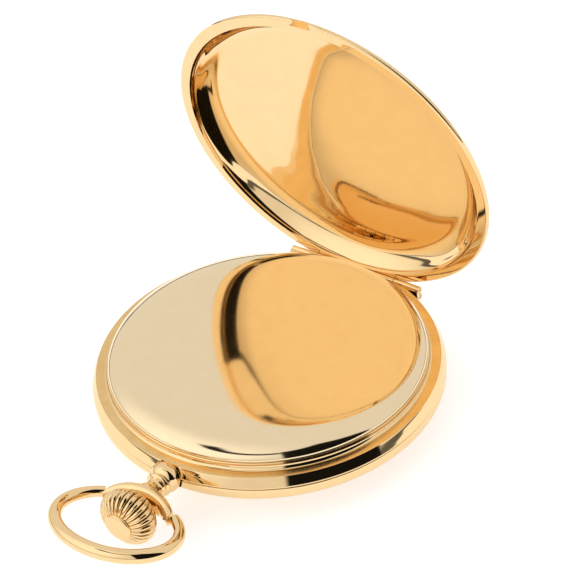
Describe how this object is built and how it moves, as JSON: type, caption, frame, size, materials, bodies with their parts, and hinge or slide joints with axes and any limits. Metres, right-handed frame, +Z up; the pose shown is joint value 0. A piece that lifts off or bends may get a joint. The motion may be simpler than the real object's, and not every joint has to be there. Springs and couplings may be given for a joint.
{
  "type": "full hunter pocket watch",
  "caption": "Gold full hunter pocket watch lying on its closed front cover, back cover open above a domed dust cover, with ribbed crown, oval bow and a working train.",
  "frame": {"origin": "centre of the front cover's flat base, on the table, on the axis of the case", "axes": "+Z up out of the watch's back, -Y towards the crown and bow, +Y towards the hinges, 12 o'clock at -X"},
  "size_m": [0.052, 0.0733, 0.0573],
  "materials": {
    "gold": "mirror-polished yellow gold with a satin ring on the case middle",
    "pin_gold": "drawn gold wire, plain",
    "glass": "clear, polished",
    "steel": "fine straight grain",
    "spring_steel": "grey tempered",
    "blued_steel": "heat-blued, polished",
    "nickel": "nickel with fine stripes",
    "wheel_brass": "gilt, fine turned grain",
    "ruby": "polished red stone",
    "enamel": "white fired enamel with black numerals"
  },
  "bodies": {
    "case": {"case_middle": "gold", "pendant": "gold", "pendant_sleeve": "steel", "bow_pins": "pin_gold", "back_hinge_pin": "pin_gold", "front_hinge_pin": "pin_gold", "cuvette_hinge_pin": "pin_gold", "bezel": "gold", "crystal": "glass", "lift_spring": "spring_steel", "case_screws": "blued_steel", "main_plate": "nickel", "barrel_bridge": "nickel", "train_bridge": "nickel", "balance_cock": "nickel", "pallet_cock": "nickel", "bridge_screws": "blued_steel", "jewels": "ruby", "hairspring": "blued_steel", "click_spring": "spring_steel", "dial": "enamel", "seconds_dial": "enamel"},
    "back_lid": {"back_lid": "gold"},
    "front_lid": {"front_lid": "gold"},
    "cuvette": {"cuvette": "gold"},
    "bow": {"bow": "gold"},
    "crown": {"crown": "gold", "crown_stem": "steel"},
    "winding": {"winding_stem": "steel", "winding_pinion": "steel"},
    "clutch": {"sliding_pinion": "steel"},
    "lock": {"lock_spring": "spring_steel"},
    "barrel": {"mainspring_barrel": "wheel_brass", "barrel_cover": "wheel_brass", "mainspring": "spring_steel"},
    "ratchet": {"barrel_arbor": "steel", "ratchet_wheel": "steel"},
    "centre": {"centre_wheel": "wheel_brass", "cannon_pinion": "steel", "minute_hand": "blued_steel"},
    "third": {"third_wheel": "wheel_brass"},
    "fourth": {"fourth_wheel": "wheel_brass", "seconds_hand": "blued_steel"},
    "escape": {"escape_wheel": "wheel_brass"},
    "lever": {"pallet_fork": "steel", "pallet_stones": "ruby"},
    "balance": {"balance_wheel": "wheel_brass", "balance_staff": "steel"},
    "regulator": {"regulator": "steel"},
    "crown_wheel": {"crown_wheel": "steel"},
    "click": {"click": "steel"},
    "setting_lever": {"setting_lever": "steel"},
    "yoke": {"yoke": "steel"},
    "setting_wheel": {"setting_wheel": "wheel_brass"},
    "minute_wheel": {"minute_wheel": "wheel_brass"},
    "hour": {"hour_wheel": "wheel_brass", "hour_hand": "blued_steel"}
  },
  "joints": [
    {"name": "back_lid_hinge", "type": "hinge", "parent": "case", "child": "back_lid", "pos_m": [0, 0.02444, 0.00785], "axis": [-1, 0, 0], "range_deg": [-78.7, 11.3]},
    {"name": "front_lid_hinge", "type": "hinge", "parent": "case", "child": "front_lid", "pos_m": [0, 0.02444, 0.00663], "axis": [1, 0, 0], "range_deg": [0, 85]},
    {"name": "cuvette_hinge", "type": "hinge", "parent": "case", "child": "cuvette", "pos_m": [0, 0.02315, 0.009], "axis": [-1, 0, 0], "range_deg": [0, 40]},
    {"name": "bow_hinge", "type": "hinge", "parent": "case", "child": "bow", "pos_m": [0, -0.0332, 0.0065], "axis": [1, 0, 0], "range_deg": [-100, 80]},
    {"name": "crown_turn", "type": "hinge", "parent": "case", "child": "winding", "pos_m": [0, -0.018, 0.0065], "axis": [0, 1, 0], "continuous": true},
    {"name": "crown_slide", "type": "slide", "parent": "winding", "child": "crown", "axis": [0, -1, 0], "range_m": [-0.0005, 0.0008]},
    {"name": "clutch_slide", "type": "slide", "parent": "winding", "child": "clutch", "axis": [0, 1, 0], "range_m": [-0.0005, 0.0008]},
    {"name": "setting_lever_swing", "type": "hinge", "parent": "case", "child": "setting_lever", "pos_m": [0.0036, -0.0162, 0.0062], "axis": [0, 0, 1], "range_deg": [-12, 19]},
    {"name": "yoke_swing", "type": "hinge", "parent": "case", "child": "yoke", "pos_m": [0.0046, -0.0116, 0.0062], "axis": [0, 0, 1], "range_deg": [-15, 10]},
    {"name": "crown_wheel_turn", "type": "hinge", "parent": "case", "child": "crown_wheel", "pos_m": [0, -0.0116, 0.0092], "axis": [0, 0, 1], "continuous": true},
    {"name": "ratchet_turn", "type": "hinge", "parent": "case", "child": "ratchet", "pos_m": [-0.009, -0.00476, 0.0082], "axis": [0, 0, 1], "continuous": true},
    {"name": "click_lift", "type": "hinge", "parent": "case", "child": "click", "pos_m": [-0.01055, 0.004, 0.0092], "axis": [0, 0, 1], "range_deg": [0, 10], "stiffness_Nm_per_rad": 0.0002},
    {"name": "lock_press", "type": "hinge", "parent": "case", "child": "lock", "pos_m": [0.02212, -0.00593, 0.0075], "axis": [0, 0, -1], "range_deg": [0, 0.7], "stiffness_Nm_per_rad": 0.5},
    {"name": "fourth_turn", "type": "hinge", "parent": "case", "child": "fourth", "pos_m": [0.0106, 0, 0.0082], "axis": [0, 0, 1], "continuous": true},
    {"name": "escape_turn", "type": "hinge", "parent": "case", "child": "escape", "pos_m": [0.00961, 0.00563, 0.0082], "axis": [0, 0, 1], "continuous": true},
    {"name": "third_turn", "type": "hinge", "parent": "case", "child": "third", "pos_m": [0.00585, -0.00457, 0.0082], "axis": [0, 0, 1], "continuous": true},
    {"name": "centre_turn", "type": "hinge", "parent": "case", "child": "centre", "pos_m": [0, 0, 0.0082], "axis": [0, 0, 1], "continuous": true},
    {"name": "barrel_turn", "type": "hinge", "parent": "case", "child": "barrel", "pos_m": [-0.009, -0.00476, 0.0076], "axis": [0, 0, 1], "continuous": true},
    {"name": "minute_wheel_turn", "type": "hinge", "parent": "case", "child": "minute_wheel", "pos_m": [0, -0.0046, 0.0055], "axis": [0, 0, 1], "continuous": true},
    {"name": "hour_turn", "type": "hinge", "parent": "case", "child": "hour", "pos_m": [0, 0, 0.0052], "axis": [0, 0, 1], "continuous": true},
    {"name": "setting_wheel_turn", "type": "hinge", "parent": "case", "child": "setting_wheel", "pos_m": [0, -0.00978, 0.0055], "axis": [0, 0, 1], "continuous": true},
    {"name": "lever_swing", "type": "hinge", "parent": "case", "child": "lever", "pos_m": [0.00656, 0.00866, 0.0074], "axis": [0, 0, 1], "range_deg": [-5, 5]},
    {"name": "balance_swing", "type": "hinge", "parent": "case", "child": "balance", "pos_m": [0.0026, 0.0126, 0.0087], "axis": [0, 0, 1], "range_deg": [-270, 270], "stiffness_Nm_per_rad": 0.000002},
    {"name": "regulator_turn", "type": "hinge", "parent": "case", "child": "regulator", "pos_m": [0.0026, 0.0126, 0.0101], "axis": [0, 0, 1], "range_deg": [-25, 25]}
  ],
  "couplings": [
    {"joint": "clutch_slide", "follows": "crown_slide", "ratio": 1},
    {"joint": "setting_lever_swing", "follows": "crown_slide", "rad_per_m": 384.62},
    {"joint": "yoke_swing", "follows": "crown_slide", "rad_per_m": -312.5},
    {"joint": "crown_wheel_turn", "follows": "crown_turn", "ratio": 0.54545},
    {"joint": "ratchet_turn", "follows": "crown_turn", "ratio": -0.3445},
    {"joint": "escape_turn", "follows": "fourth_turn", "ratio": -10},
    {"joint": "third_turn", "follows": "fourth_turn", "ratio": -0.13333},
    {"joint": "centre_turn", "follows": "fourth_turn", "ratio": 0.016667},
    {"joint": "barrel_turn", "follows": "fourth_turn", "ratio": -0.0020833},
    {"joint": "minute_wheel_turn", "follows": "fourth_turn", "ratio": -0.0055556},
    {"joint": "hour_turn", "follows": "fourth_turn", "ratio": 0.0013889},
    {"joint": "setting_wheel_turn", "follows": "fourth_turn", "ratio": 0.011111}
  ]
}
